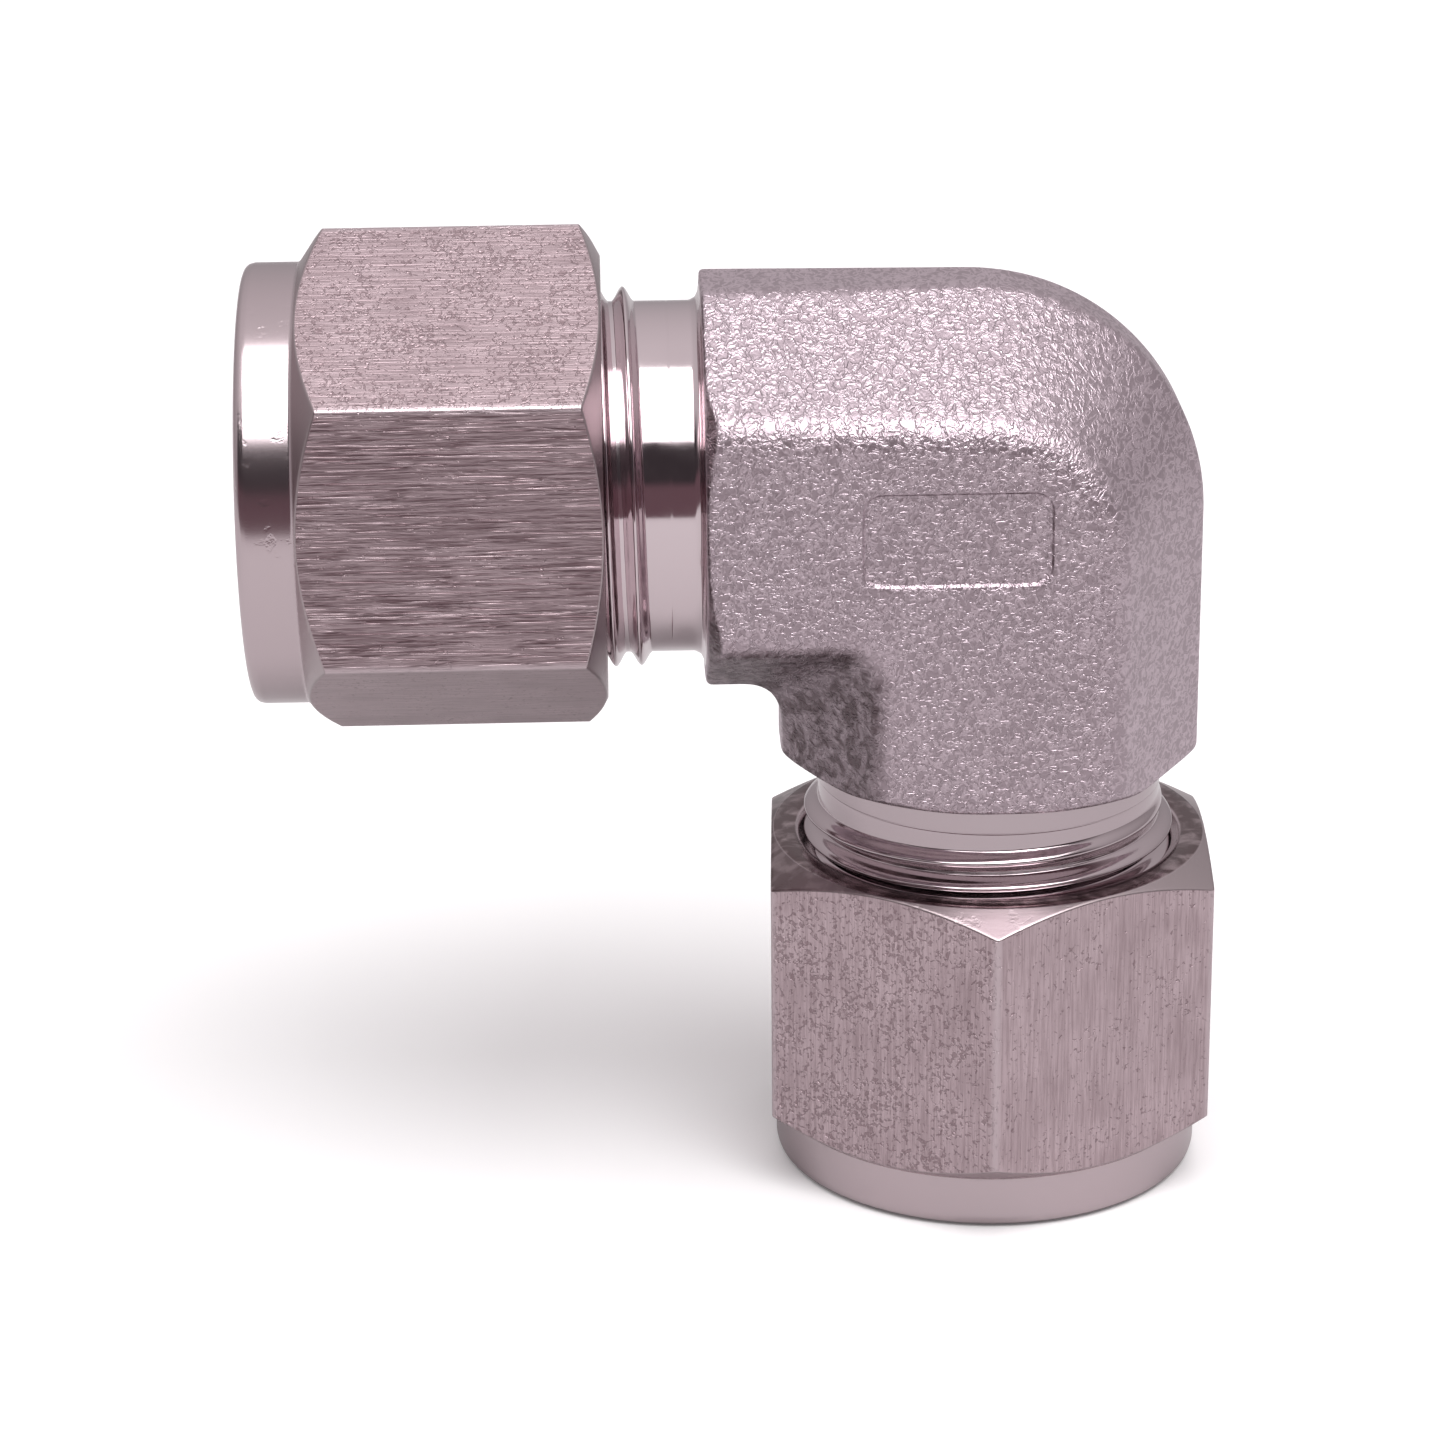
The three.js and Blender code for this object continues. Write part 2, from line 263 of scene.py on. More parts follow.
def surface_net(field, axes):
    """Quads of the field's zero surface on an uneven grid, with each point pulled onto the surface."""
    shape = tuple(len(a) for a in axes)
    value = field(np.stack(np.meshgrid(*axes, indexing="ij"), axis=-1))
    inside = value > 0
    cells = tuple(n - 1 for n in shape)
    sums = np.zeros(cells + (3,))
    count = np.zeros(cells)

    def corner(array, offset):
        return array[tuple(slice(o, n - 1 + o) for o, n in zip(offset, shape))]

    def line(axis, offset):
        """The grid's coordinate along an axis, at the near or far end of each cell."""
        values = axes[axis][offset:len(axes[axis]) - 1 + offset]
        return values.reshape([-1 if i == axis else 1 for i in range(3)])

    for a in [(i, j, k) for i in (0, 1) for j in (0, 1) for k in (0, 1)]:
        for axis in range(3):
            if a[axis]:
                continue
            b = tuple(o + (i == axis) for i, o in enumerate(a))
            va, vb = corner(value, a), corner(value, b)
            crosses = corner(inside, a) != corner(inside, b)
            t = np.where(crosses, va / np.where(crosses, va - vb, 1), 0)
            for i in range(3):
                place = line(i, a[i])
                if i == axis:
                    place = place + t * (line(i, 1) - place)
                sums[..., i] += np.where(crosses, place, 0)
            count += crosses
    used = count > 0
    number = np.full(used.shape, -1, dtype=np.int64)
    number[used] = np.arange(used.sum())
    points = sums[used] / count[used][:, None]
    faces = []
    for axis in range(3):
        u, v = (axis + 1) % 3, (axis + 2) % 3
        first = tuple(slice(0, -1) if i == axis else slice(1, -1) for i in range(3))
        second = tuple(slice(1, None) if i == axis else slice(1, -1) for i in range(3))
        crosses = inside[first] != inside[second]
        outward = inside[first][crosses]
        at = np.argwhere(crosses)
        at[:, u] += 1
        at[:, v] += 1
        corners = []
        for du, dv in ((1, 1), (0, 1), (0, 0), (1, 0)):
            cell = at.copy()
            cell[:, u] -= du
            cell[:, v] -= dv
            corners.append(number[cell[:, 0], cell[:, 1], cell[:, 2]])
        quad = np.stack(corners, axis=-1)
        faces.append(np.where(outward[:, None], quad, quad[:, ::-1]))
    return pulled_onto(field, points), np.concatenate(faces)


def field_gradient(field, points):
    steps = GRADIENT_STEP * np.eye(3)
    return np.stack([(field(points + e) - field(points - e)) / (2 * GRADIENT_STEP) for e in steps], axis=-1)


def pulled_onto(field, points):
    """The points after three short Newton steps towards the field's zero surface."""
    for _ in range(3):
        slope = field_gradient(field, points)
        size = np.maximum(np.einsum("ij,ij->i", slope, slope), 0.25)
        move = (field(points) / size)[:, None] * slope
        points = points - np.clip(move, -LONGEST_MOVE, LONGEST_MOVE)
    return points


def uneven(low, high, step, fine, places):
    """Grid lines from low to high, closer together near the given places."""
    lines = [low]
    while lines[-1] < high:
        near = any(abs(lines[-1] - place) < FINE_REACH for place in places)
        lines.append(lines[-1] + (fine if near else step))
    return np.array(lines)


def forging():
    step, fine = ((0.2, 0.08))
    axes = (
        uneven(*GRID_X, step, fine, (-END, PAD_X - PAD_HALF_X, PAD_X + PAD_HALF_X)),
        uneven(*GRID_Y, step, fine, (PAD_DEPTH / 2 - FLAT_Y,)),
        uneven(*GRID_Z, step, fine, (-END, PAD_Z - PAD_HALF_Z, PAD_Z + PAD_HALF_Z)),
    )
    return surface_net(forging_field, axes)


# ---------------------------------------------------------------- turned ends of the body

def on_thread(radius, u):
    """Whether points of an arm's profile lie where the thread is cut."""
    return (np.abs(radius - ROOT) < 1e-6) & (u > THREAD_START - 0.4)


def spigot(one_arm):
    """Neck, thread, port face, cone and tube socket of one arm as one closed turned surface."""
    start = END - 0.3
    neck = [
        (9.5, start),
        (9.5, END + 0.02),
        (9.2, END + 0.05),
        (8.87, END + 0.2),
        (ROOT, END + 0.5),
        (ROOT, TOOL_MARK - 0.05),
        (ROOT - 0.015, TOOL_MARK),
        (ROOT, TOOL_MARK + 0.05),
        (ROOT, THREAD_START - 0.36),
    ]
    mouth = [
        (ROOT, PORT_FACE - 0.1),
        (8.55, PORT_FACE),
        (8.1, PORT_FACE),
        (SOCKET, 24.2),
        (SOCKET, TUBE_STOP),
        (PASSAGE, TUBE_STOP),
        (PASSAGE, 12.55),
        (7.65, 12.55),
        (7.65, start),
    ]
    profile = divided(softened(neck + mouth, 0.08), 0.9)
    columns = 192
    fine = 0.035
    threaded = on_thread(profile[:, 0], profile[:, 1]) & (profile[:, 1] < PORT_FACE - 0.1)
    plain = profile[~threaded]
    split = np.argmax(plain[:, 1] > PORT_FACE - 0.2)
    thread_u = np.arange(THREAD_START - 0.35, PORT_FACE - 0.2, fine)
    thread = np.column_stack([np.full_like(thread_u, ROOT), thread_u])
    rows = np.concatenate([plain[:split], thread, plain[split:]])
    angle = np.linspace(0, 2 * math.pi, columns, endpoint=False)
    radius, height = rows[:, :1], rows[:, 1:]
    screw = thread_radius(height, angle, one_arm["thread_at"], start=THREAD_START, **THREAD_FORM)
    chamfer = PORT_CHAMFER + (PORT_FACE - height)
    radius = np.where(on_thread(radius, height), np.minimum(screw, chamfer), radius)
    points = placed(one_arm, radius, angle, height)
    return points.reshape(-1, 3), ring_faces(len(rows), columns)


def elbow_body():
    """The forging and both turned ends as one mesh, with a material of its own for each."""
    points, faces, slots, count = [], [], [], 0
    for slot, (some_points, some_faces) in enumerate((forging(), spigot(LEFT), spigot(LOWER))):
        points.append(some_points)
        faces.append(some_faces + count)
        slots.append(np.full(len(some_faces), slot))
        count += len(some_points)
    return object_from("elbow_forging", *map(np.concatenate, (points, faces, slots)))


# ---------------------------------------------------------------- nuts

# The higher HEX_SHARPNESS, the smaller the rounding of the hexagon's corners.
HEX_SHARPNESS, NUT_EDGE_ROUNDING, NUT_MOUTH = 235.0, 0.05, 0.9


def hex_radius(angle, turn):
    """Radius of a hexagon with slightly rounded corners; turn is the angle of one corner."""
    powers = 0
    for k in range(6):
        cosine = np.cos(angle - turn - math.radians(30 + 60 * k))
        powers = powers + np.maximum(cosine, 1e-6) ** HEX_SHARPNESS
    return NUT_FLATS / 2 / powers ** (1 / HEX_SHARPNESS)


def nut_columns(turn):
    """Angles round the nut, closer together near the six corners."""
    per_side = 64
    t = np.linspace(-1, 1, per_side, endpoint=False)
    within = math.radians(30) * (0.45 * t + 0.55 * np.sin(math.pi / 2 * t))
    return np.concatenate([turn + math.radians(30 + 60 * k) + within for k in range(6)])


def nut_outside():
    """(radius limit, v) down the outside of the nut, from its inner end face to its outer end face."""
    corner = NUT_FLATS / math.sqrt(3)
    limit = [
        (10.955, -NUT_LENGTH),
        (corner + 0.5, -NUT_LENGTH + 1.27),
        (corner + 0.5, -4.36),
        (COLLAR + 0.12, -2.80),
        (COLLAR, -2.66),
        (COLLAR, -0.52),
        (COLLAR - 0.06, -0.26),
        (COLLAR - 0.20, -0.08),
        (COLLAR - 0.42, 0.0),
    ]
    v = np.concatenate([
        np.arange(-NUT_LENGTH, -16.1, 0.05),
        np.linspace(-16.0, -4.6, 34),
        np.arange(-4.5, -2.5, 0.05),
        np.linspace(-2.4, -0.7, 6),
        np.arange(-0.6, 0.0, 0.06),
        [0.0],
    ])
    radii, heights = zip(*limit)
    return np.interp(v, heights, radii), v


def nut_inside():
    """(radius, v) of the inside, from the outer end face back to the inner end face."""
    corners = [
        (8.6, 0.0),
        (6.85, 0.0),
        (6.48, -0.4),
        (6.48, -3.6),
        (8.45, -5.57),
        (8.45, -6.2),
        (9.75, -6.2),
        (9.75, -7.6),
        (GROOVE_ROOT, -7.6),
    ]
    opened = softened(corners, 0.1)[3:-3]
    thread = [(GROOVE_ROOT, v) for v in np.arange(-7.7, -NUT_LENGTH + 0.04, -0.06)]
    mouth = [(9.95, -NUT_LENGTH + 0.02), (10.1, -NUT_LENGTH), (10.5, -NUT_LENGTH)]
    return np.array([tuple(p) for p in opened] + thread + mouth)


def nut(one_arm):
    turn = one_arm["hex_turn"]
    angle = nut_columns(turn)
    limit, outer_v = nut_outside()
    outside = soft_min(hex_radius(angle, turn), limit[:, None], NUT_EDGE_ROUNDING)
    inside = nut_inside()
    inner, inner_v = inside[:, :1], inside[:, 1:]
    grooved = thread_radius(inner_v, angle, one_arm["thread_at"] - one_arm["nut"], **GROOVE_FORM)
    mouth = GROOVE_ROOT + np.clip(NUT_MOUTH - (inner_v + NUT_LENGTH), 0, NUT_MOUTH)
    threaded = np.abs(inner - GROOVE_ROOT) < 1e-6
    inner = np.where(threaded, np.maximum(grooved, mouth), inner)
    radius = np.concatenate([outside, inner])
    height = np.concatenate([outer_v[:, None], inner_v]) + one_arm["nut"]
    points = placed(one_arm, radius, angle, height)
    return object_from(f"{one_arm['name']}_nut_shell", points, ring_faces(len(radius), len(angle)))


# ---------------------------------------------------------------- ferrules

def ferrule(name, one_arm, corners, nose):
    """A turned ring whose profile starts at its nose, which is at that u."""
    profile = divided(softened(corners, 0.09, 4), 0.5)
    columns = 160
    angle = np.linspace(0, 2 * math.pi, columns, endpoint=False)
    points = placed(one_arm, profile[:, :1], angle, profile[:, 1:] + nose)
    return object_from(name, points, ring_faces(len(profile), columns))


FRONT_PROFILE = [
    (FERRULE_BORE, 0),
    (6.73, 0),
    (FLANGE, 3.39),
    (FLANGE, 4.9),
    (7.3, 4.9),
    (FERRULE_BORE, 3.8),
]
BACK_PROFILE = [
    (FERRULE_BORE, 0),
    (6.62, 0),
    (7.34, 0.9),
    (FLANGE, 0.9),
    (FLANGE, 1.2),
    (6.65, 2.75),
    (FERRULE_BORE, 2.75),
]


# ---------------------------------------------------------------- materials

def shader(name, color, roughness):
    material = bpy.data.materials.new(name)
    material.use_nodes = True
    tree = material.node_tree
    base = tree.nodes["Principled BSDF"]
    base.inputs["Base Color"].default_value = (*color, 1)
    base.inputs["Metallic"].default_value = 1.0
    base.inputs["Roughness"].default_value = roughness
    return material, tree, base


def node(tree, kind, **values):
    made = tree.nodes.new(kind)
    for key, value in values.items():
        if key in made.inputs:
            made.inputs[key].default_value = value
        else:
            setattr(made, key, value)
    return made


def noise(tree, vector, scale, detail, distortion=0.0, rough=0.5):
    made = node(tree, "ShaderNodeTexNoise", Scale=scale, Detail=detail, Distortion=distortion)
    made.inputs["Roughness"].default_value = rough
    tree.links.new(vector, made.inputs["Vector"])
    return made.outputs["Fac"]


def stretched(tree, scales):
    """Object coordinates in millimetres, scaled along each axis."""
    coordinates = node(tree, "ShaderNodeTexCoord")
    mapping = node(tree, "ShaderNodeMapping")
    mapping.inputs["Scale"].default_value = [s / MM for s in scales]
    tree.links.new(coordinates.outputs["Object"], mapping.inputs["Vector"])
    return mapping.outputs["Vector"]


def ramp(tree, value, low, high, to_low=0.0, to_high=1.0):
    made = node(tree, "ShaderNodeMapRange")
    made.inputs["From Min"].default_value = low
    made.inputs["From Max"].default_value = high
    made.inputs["To Min"].default_value = to_low
    made.inputs["To Max"].default_value = to_high
    tree.links.new(value, made.inputs["Value"])
    return made.outputs["Result"]


def combine(tree, operation, a, b):
    made = node(tree, "ShaderNodeMath", operation=operation)
    for i, value in enumerate((a, b)):
        if isinstance(value, (int, float)):
            made.inputs[i].default_value = value
        else:
            tree.links.new(value, made.inputs[i])
    return made.outputs[0]


MIX_SOCKETS = {"FLOAT": (2, 3, 0), "VECTOR": (4, 5, 1), "RGBA": (6, 7, 2)}


def mix(tree, kind, factor, first, second):
    """Two values of one kind, mixed; each may be a plain value or another node's output."""
    first_at, second_at, result_at = MIX_SOCKETS[kind]
    made = node(tree, "ShaderNodeMix", data_type=kind)
    for at, value in ((0, factor), (first_at, first), (second_at, second)):
        if isinstance(value, tuple):
            made.inputs[at].default_value = (*value, 1)
        elif isinstance(value, float):
            made.inputs[at].default_value = value
        else:
            tree.links.new(value, made.inputs[at])
    return made.outputs[result_at]


def mix_color(tree, factor, first, second):
    return mix(tree, "RGBA", factor, first, second)


def bump(tree, height, distance):
    """A bump whose heights of 0 to 1 stand for so many millimetres."""
    made = node(tree, "ShaderNodeBump", Strength=1.0, Distance=distance * MM)
    tree.links.new(height, made.inputs["Height"])
    return made.outputs["Normal"]


# Base colours of the metal, in linear RGB.
FORGED, FORGED_DARK = (0.68, 0.57, 0.625), (0.31, 0.245, 0.275)
# Painted shade for the forging's bevels that face left and down.
BEVEL_SHADE_DARK = (0.15, 0.11, 0.12)
POLISHED, DULLED = (0.73, 0.625, 0.655), (0.56, 0.475, 0.50)
DRAWN, DRAWN_PALE, DRAWN_DARK = (0.58, 0.46, 0.488), (0.65, 0.52, 0.553), (0.23, 0.155, 0.17)
TURNED, COLLAR_STEEL, WORN = (0.46, 0.385, 0.40), (0.62, 0.52, 0.545), (0.66, 0.55, 0.58)
# A dark colour that is stain on the chamfers, and partly stain and partly painted shade on the end faces
# next to the forging.
STAIN_AND_SHADE, STAIN_SPOT = (0.15, 0.10, 0.105), (0.42, 0.33, 0.345)
DRAWN_ROUGHNESS = 0.34
OTHER_AXES = {"X": ("Y", "Z"), "Z": ("X", "Y")}
NO_LEDGE = -60
LEFT_FACES = {
    "pitted": (0, -0.47, 0.88),
    "lined": (0, -1.0, 0.04),
    "stained": (0, 0, 0),
    "ledge": -3.25,
}
LOWER_FACES = {
    "pitted": (-0.54, -0.84, 0),
    "lined": (0.5, 0.87, 0),
    "stained": (-1.1, 0.3, 0.2),
    "ledge": NO_LEDGE,
}


def along(axis, lengthwise, crosswise):
    """Texture scales with one value along an arm's axis and another across it."""
    return tuple(lengthwise if name == axis else crosswise for name in "XYZ")


def absolute(tree, value):
    return combine(tree, "ABSOLUTE", value, 0.0)


def inverse(tree, value):
    return combine(tree, "SUBTRACT", 1.0, value)


def near_middle(tree, grain, width):
    """From 1 down to 0 as a noise leaves its middle value, which draws thin winding lines."""
    return ramp(tree, absolute(tree, combine(tree, "SUBTRACT", grain, 0.5)), 0.0, width, 1.0, 0.0)


def product(tree, *values):
    result = values[0]
    for value in values[1:]:
        result = combine(tree, "MULTIPLY", result, value)
    return result


def total(tree, *values):
    result = values[0]
    for value in values[1:]:
        result = combine(tree, "ADD", result, value)
    return result


def object_split(tree, output):
    """The parts along X, Y and Z of the object's own coordinates or of its smooth normal."""
    coordinates = node(tree, "ShaderNodeTexCoord")
    split = node(tree, "ShaderNodeSeparateXYZ")
    tree.links.new(coordinates.outputs[output], split.inputs["Vector"])
    return split.outputs


def facing(tree, normal, direction, low, high):
    """From 0 to 1 as the smooth normal comes into line with a direction."""
    parts = [product(tree, normal[i], float(direction[i])) for i in range(3)]
    return ramp(tree, total(tree, *parts), low, high)


def forged_steel():
    """Blasted forging skin: worm-like ridges a third of a millimetre long, smooth on the trimmed strip."""
    material, tree, base = shader("forged_steel", FORGED, 0.42)
    normal = object_split(tree, "Normal")
    even = stretched(tree, (1, 1, 1))
    drawn_out = stretched(tree, (1, 0.55, 1))

    # The strip faces sideways and is smooth, and the outside of the bend is about half as rough.
    skin = ramp(tree, absolute(tree, normal["Y"]), 0.12, 0.34)
    outer = ramp(tree, normal["X"], 0.35, 0.8, 1.0, 0.45)
    worms = near_middle(tree, noise(tree, drawn_out, 2.5, 2.0, 0.8), 0.11)
    fine = noise(tree, drawn_out, 6.0, 1.0, 0.3)
    height = total(tree, product(tree, worms, 0.75), product(tree, fine, 0.5))
    tree.links.new(bump(tree, product(tree, height, skin, outer), 0.045), base.inputs["Normal"])

    mottle = noise(tree, even, 0.35, 3.0)
    shade = product(tree, ramp(tree, worms, 0.0, 0.8, 0.45, 1.0), ramp(tree, mottle, 0.3, 0.6, 0.88, 1.0))
    color = mix_color(tree, shade, FORGED_DARK, FORGED)

    # Painted shade, broken into specks, on the inner corner's bevels that face left and down.
    inward = combine(tree, "MAXIMUM", product(tree, normal["X"], -1.0), product(tree, normal["Z"], -1.0))
    cloud = noise(tree, even, 0.45, 3.0, 0.3)
    reach = ramp(tree, total(tree, inward, product(tree, cloud, 0.5)), 0.60, 0.98)
    clots = noise(tree, drawn_out, 1.5, 3.0, 0.8, 0.6)
    shade_specks = ramp(tree, clots, 0.40, 0.60, 0.95, 0.40)
    # How strongly the painted shade is laid on, in specks.
    scale = product(tree, reach, skin, shade_specks)
    tree.links.new(mix_color(tree, scale, color, BEVEL_SHADE_DARK), base.inputs["Base Color"])
    return material


def turned_steel(name, axis, color=POLISHED):
    """Neck, thread and bores of one arm, or a ferrule: bright metal with fine tool rings round the axis."""
    material, tree, base = shader(name, color, 0.1)
    rings = noise(tree, stretched(tree, along(axis, 9, 0.12)), 1.0, 3.0)
    tree.links.new(bump(tree, rings, 0.0022), base.inputs["Normal"])
    smear = noise(tree, stretched(tree, (1, 1, 1)), 0.5, 3.0)
    tree.links.new(ramp(tree, smear, 0.3, 0.7, 0.06, 0.16), base.inputs["Roughness"])
    return material


def nut_steel(name, axis, drawn_color, pitted, lined, stained, ledge):
    """Cold-drawn hexagon bar with draw marks along its axis; the chamfers, collar and ends are turned.

    pitted and lined are the directions of the faces with the most pits and the deepest draw marks,
    stained that of the stained chamfers, and ledge the height in millimetres of a long scored step.
    """
    material, tree, base = shader(name, drawn_color, DRAWN_ROUGHNESS)
    normal = object_split(tree, "Normal")
    place = object_split(tree, "Object")
    first, second = (place[other] for other in OTHER_AXES[axis])
    squares = total(tree, product(tree, first, first), product(tree, second, second))
    radius = combine(tree, "POWER", squares, 0.5)
    collar = ramp(tree, radius, 10.99 * MM, 11.05 * MM, 1.0, 0.0)
    slope = ramp(tree, absolute(tree, normal[axis]), 0.15, 0.3)
    turned = combine(tree, "MAXIMUM", collar, slope)
    even = stretched(tree, (1, 1, 1))

    # Draw marks: fine lines, deeper scores among them, and one long ledge.
    wander = noise(tree, even, 0.30, 2.0)
    fine = noise(tree, stretched(tree, along(axis, 0.35, 9.0)), 1.0, 3.0, 0.5, 0.65)
    long = noise(tree, stretched(tree, along(axis, 0.10, 3.0)), 1.0, 2.0, 0.2)
    drawn = facing(tree, normal, lined, 0.9, 0.97)
    depth = total(tree, product(tree, drawn, 0.60), 0.40)
    scores = near_middle(tree, long, 0.035)
    lines = product(tree, total(tree, product(tree, fine, 1.25), product(tree, scores, -0.4)), depth)
    height = total(tree, place["Z"], product(tree, wander, 0.1 * MM))
    above = ramp(tree, height, ledge * MM, (ledge + 0.14) * MM)
    lines = total(tree, lines, product(tree, above, drawn, -1.5))

    # Pits, crowded on the pitted face and in patches.
    patches = noise(tree, even, 0.40, 3.0, 0.4)
    rough_face = facing(tree, normal, pitted, 0.9, 0.97)
    crowd = total(tree, product(tree, rough_face, 0.085), product(tree, drawn, -0.06), 0.30)
    threshold = total(tree, crowd, ramp(tree, patches, 0.35, 0.65, -0.05, 0.05))
    pit_noise = noise(tree, even, 4.2, 2.0, 0.9)
    pits = ramp(tree, combine(tree, "SUBTRACT", pit_noise, threshold), 0.0, 0.07, 1.0, 0.0)
    drawn_relief = combine(tree, "SUBTRACT", lines, product(tree, pits, 0.6))

    # Tool rings and small dents on the turned parts.
    rings = noise(tree, stretched(tree, along(axis, 7, 0.25)), 1.0, 3.0)
    dents = ramp(tree, noise(tree, even, 1.1, 4.0, 0.3, 0.6), 0.30, 0.42)
    turned_relief = total(tree, rings, product(tree, dents, 1.6))
    bumped = mix(tree, "VECTOR", turned, bump(tree, drawn_relief, 0.03), bump(tree, turned_relief, 0.005))
    tree.links.new(bumped, base.inputs["Normal"])

    # Colour of the drawn flats, paler where the corners are worn.
    tone = ramp(tree, total(tree, fine, product(tree, scores, -0.12)), 0.34, 0.58)
    tone = total(tree, product(tree, tone, depth), inverse(tree, depth))
    blotch = ramp(tree, total(tree, patches, wander), 0.75, 1.2, 0.76, 1.0)
    tone = product(tree, tone, blotch, ramp(tree, pits, 0.0, 1.0, 1.0, 0.45))
    flat_color = mix_color(tree, tone, DRAWN_DARK, drawn_color)
    wear = ramp(tree, radius, 12.66 * MM, 12.80 * MM)
    flat_color = mix_color(tree, wear, flat_color, WORN)

    # Colour of the turned parts: stained on some chamfers, and on the end face round the thread a dark
    # colour that is partly stain and partly painted shade from the forging.
    spots = ramp(tree, noise(tree, even, 0.9, 4.0, 0.6), 0.46, 0.66)
    stain_and_shade_color = mix_color(tree, spots, STAIN_AND_SHADE, STAIN_SPOT)
    # The end face round the thread is darkened partly as stain and partly as painted shade from the
    # forging.
    end_face = ramp(tree, normal[axis], 0.9, 0.96)
    chamfer_stain = product(tree, facing(tree, normal, stained, 0.3, 0.75), inverse(tree, collar))
    stain_and_shade_part = combine(tree, "MAXIMUM", end_face, chamfer_stain)
    turned_color = mix_color(tree, collar, TURNED, COLLAR_STEEL)
    turned_color = mix_color(tree, stain_and_shade_part, turned_color, stain_and_shade_color)
    tree.links.new(mix_color(tree, turned, flat_color, turned_color), base.inputs["Base Color"])

    satin = ramp(tree, collar, 0.0, 1.0, 0.30, 0.19)
    tree.links.new(mix(tree, "FLOAT", turned, DRAWN_ROUGHNESS, satin), base.inputs["Roughness"])
    return material


# ---------------------------------------------------------------- the pieces

def build():
    body = elbow_body()
    body.data.materials.append(forged_steel())
    body.data.materials.append(turned_steel("left_turned_steel", "X"))
    body.data.materials.append(turned_steel("lower_turned_steel", "Z", DULLED))
    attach(body, "elbow")
    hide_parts("elbow_body")
    looks = {
        "left": nut_steel("left_nut_steel", "X", DRAWN, **LEFT_FACES),
        "lower": nut_steel("lower_nut_steel", "Z", DRAWN_PALE, **LOWER_FACES),
    }
    ring_looks = {
        "left": turned_steel("left_ferrule_steel", "X"),
        "lower": turned_steel("lower_ferrule_steel", "Z"),
    }
    for one_arm in ARMS:
        name = one_arm["name"]
        shell = nut(one_arm)
        shell.data.materials.append(looks[name])
        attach(shell, f"{name}_nut")
        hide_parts(f"{name}_nut")
        for which, profile in (("front", FRONT_PROFILE), ("back", BACK_PROFILE)):
            piece = ferrule(f"{name}_{which}_ring", one_arm, profile, one_arm[which])
            piece.data.materials.append(ring_looks[name])
            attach(piece, f"{name}_{which}_ferrule")
            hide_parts(f"{name}_{which}_ferrule")


# ---------------------------------------------------------------- floor, light and camera

# Places and sizes are in metres here, apart from CAMERA_PLACE, which is in millimetres.
FLOOR_FRONT, FLOOR_BACK, FLOOR_SIDE, FLOOR_GAP = -0.22, 1.4, 1.2, 0.0001
FLOOR_SEEN, FLOOR_IN_METAL = (0.93, 0.92, 0.925), (0.56, 0.55, 0.555)
FLOOR_GLOW_NEAR, FLOOR_GLOW_FAR = 0.09, 0.40


def floor():
    """A pale floor just under the part, which glows a little for the camera, more so further back."""
    height = CAD_BOX[0][2] - FLOOR_GAP
    corners = ((-1, FLOOR_FRONT), (1, FLOOR_FRONT), (1, FLOOR_BACK), (-1, FLOOR_BACK))
    bm = bmesh.new()
    bm.faces.new([bm.verts.new((side * FLOOR_SIDE, y, height)) for side, y in corners])
    mesh = bpy.data.meshes.new("floor")
    bm.to_mesh(mesh)
    bm.free()
    piece = bpy.data.objects.new("floor", mesh)
    bpy.context.scene.collection.objects.link(piece)
    material = bpy.data.materials.new("pale_floor")
    material.use_nodes = True
    tree = material.node_tree
    base = tree.nodes["Principled BSDF"]
    seen = node(tree, "ShaderNodeLightPath").outputs["Is Camera Ray"]
    tree.links.new(mix_color(tree, seen, FLOOR_IN_METAL, FLOOR_SEEN), base.inputs["Base Color"])
    away = object_split(tree, "Object")["Y"]
    glow = ramp(tree, away, 0.0, FLOOR_BACK, FLOOR_GLOW_NEAR, FLOOR_GLOW_FAR)
    tree.links.new(product(tree, glow, seen), base.inputs["Emission Strength"])
    base.inputs["Emission Color"].default_value = (1, 1, 1, 1)
    base.inputs["Roughness"].default_value = 0.9
    mesh.materials.append(material)


ROOM_LOW, ROOM_HIGH = (0.40, 0.375, 0.385), (0.72, 0.69, 0.70)
FRONT_LOW, FRONT_DARK = (0.15, 0.09, 0.105), (0.045, 0.038, 0.042)
WINDOW_PLACE, WINDOW_AIM = (0, -0.207, 0.445), (0, 0, -0.01)
WINDOW_SIZE, WINDOW_POWER = (0.5, 0.477), 2.15
SUN_FROM, SUN_STRENGTH, SUN_SPREAD = (0.30, -0.42, 0.86), 0.85, 40.0
CAMERA_PLACE, CAMERA_FORWARD = (-18.845, -207.454, 64.659), (0.02385, 0.93602, -0.35113)
CAMERA_LENS, CAMERA_SENSOR, CAMERA_ROLL, CAMERA_NEAREST = 108.62, 36.0, -0.623, 0.01


def add_light(data, place, forward):
    """A light object for some light data, which shines forward from a place."""
    light = bpy.data.objects.new(data.name, data)
    light.location = place
    light.rotation_euler = forward.to_track_quat("-Z", "Y").to_euler()
    bpy.context.scene.collection.objects.link(light)


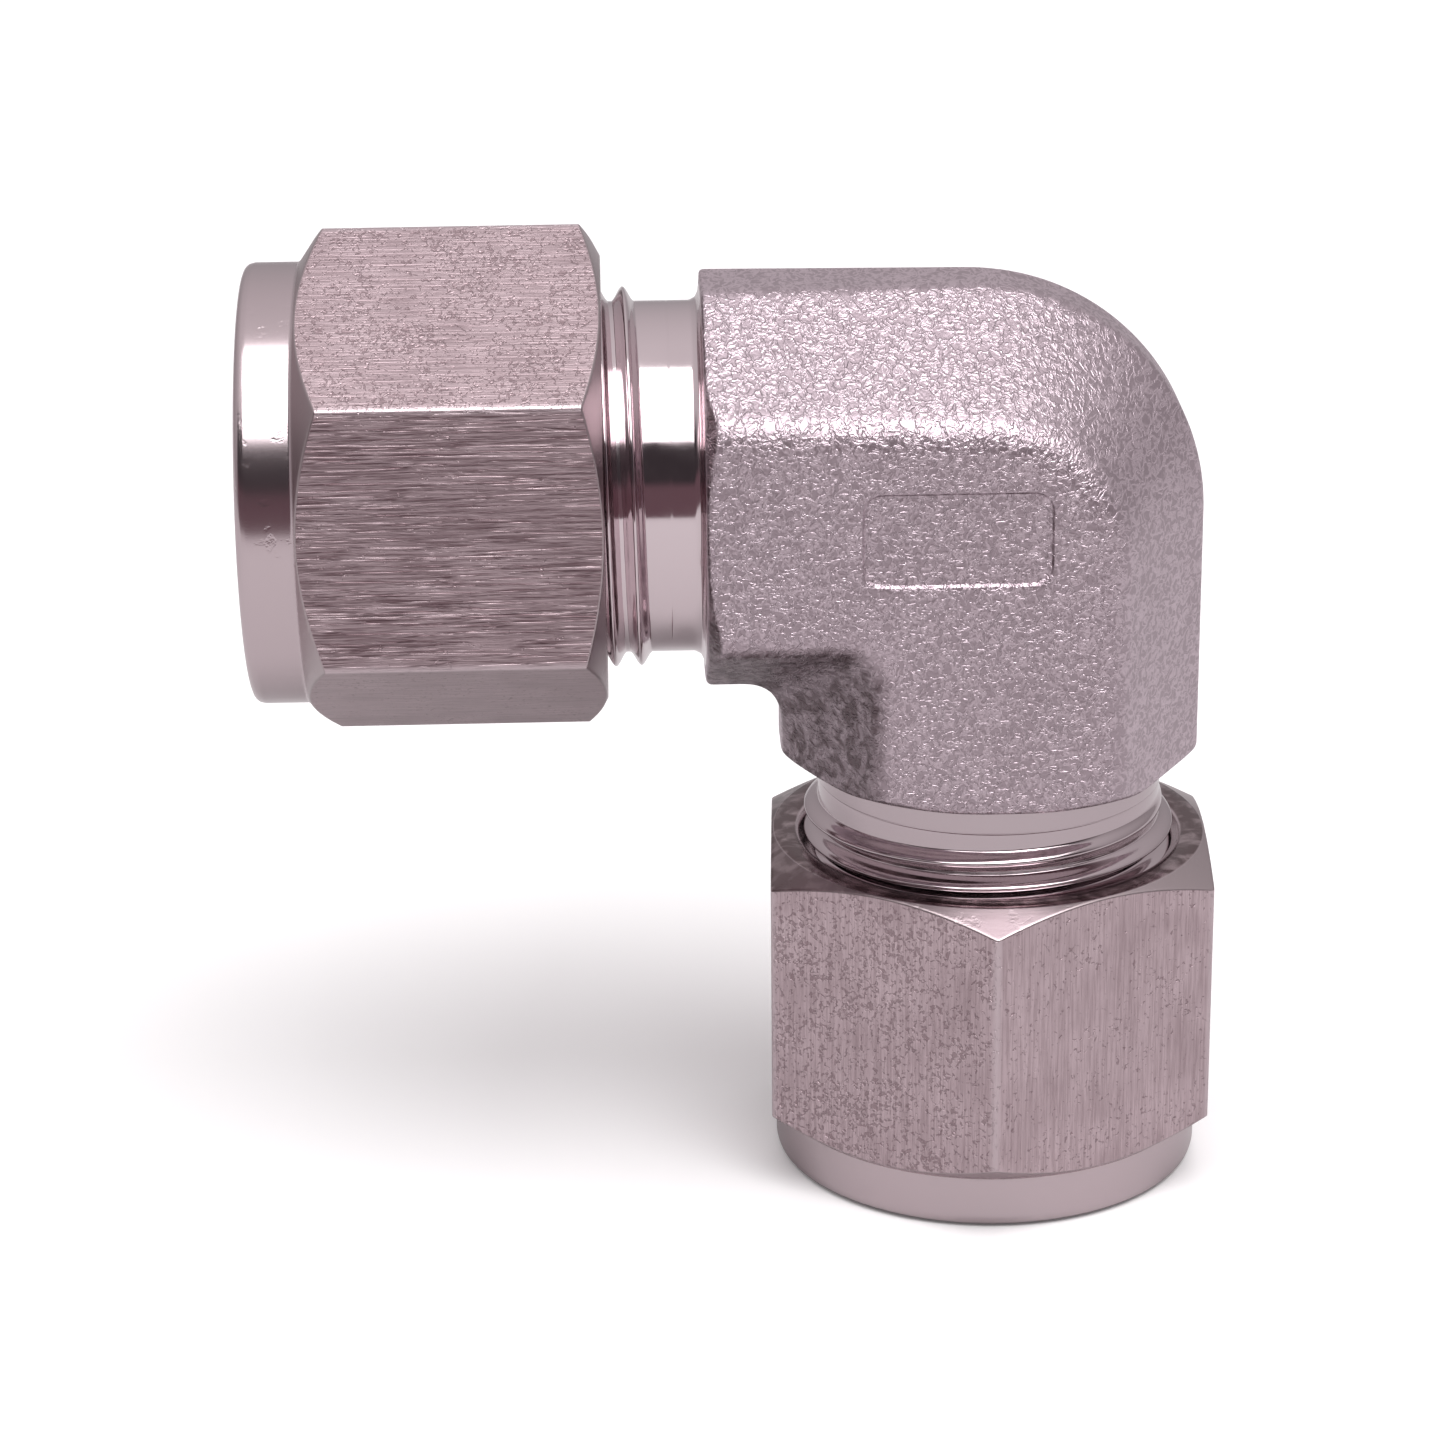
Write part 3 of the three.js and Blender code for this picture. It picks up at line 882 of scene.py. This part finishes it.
def window():
    """A large soft window above the front."""
    data = bpy.data.lights.new("window", "AREA")
    data.shape = "RECTANGLE"
    data.size, data.size_y = WINDOW_SIZE
    data.energy = WINDOW_POWER
    add_light(data, WINDOW_PLACE, Vector(WINDOW_AIM) - Vector(WINDOW_PLACE))


def sun():
    """Broad daylight from above the front right, which keeps the far floor pale."""
    data = bpy.data.lights.new("daylight", "SUN")
    data.energy = SUN_STRENGTH
    data.angle = math.radians(SUN_SPREAD)
    add_light(data, (0, 0, 0), -Vector(SUN_FROM))


def studio():
    """The window and daylight, a dim low part of the room in front, and a pale room round the rest."""
    world = bpy.data.worlds.new("studio")
    bpy.context.scene.world = world
    world.use_nodes = True
    tree = world.node_tree
    direction = node(tree, "ShaderNodeTexCoord")
    split = node(tree, "ShaderNodeSeparateXYZ")
    tree.links.new(direction.outputs["Generated"], split.inputs["Vector"])
    height, depth = split.outputs["Z"], split.outputs["Y"]
    room = mix_color(tree, ramp(tree, height, 0.1, 0.95), ROOM_LOW, ROOM_HIGH)
    dim = mix_color(tree, ramp(tree, height, 0.16, 0.24), FRONT_LOW, FRONT_DARK)
    front = product(tree, ramp(tree, depth, -0.2, -0.5), ramp(tree, height, 0.70, 0.62))
    reflected = mix_color(tree, front, room, dim)
    seen = node(tree, "ShaderNodeLightPath").outputs["Is Camera Ray"]
    color = mix_color(tree, seen, reflected, (1.0, 1.0, 1.0))
    tree.links.new(color, tree.nodes["Background"].inputs["Color"])
    window()
    sun()
    bpy.context.scene.view_settings.view_transform = "Standard"


def camera():
    """The camera stands in front, a little above the part, and is rolled by 0.6 of a degree."""
    data = bpy.data.cameras.new("camera")
    data.lens = CAMERA_LENS
    data.sensor_width = CAMERA_SENSOR
    data.clip_start = CAMERA_NEAREST
    made = bpy.data.objects.new("camera", data)
    made.location = Vector(CAMERA_PLACE) * MM
    roll = Quaternion((0, 0, 1), math.radians(CAMERA_ROLL))
    made.rotation_mode = "QUATERNION"
    made.rotation_quaternion = Vector(CAMERA_FORWARD).to_track_quat("-Z", "Y") @ roll
    bpy.context.scene.collection.objects.link(made)
    bpy.context.scene.camera = made


camera()
studio()
floor()
build()
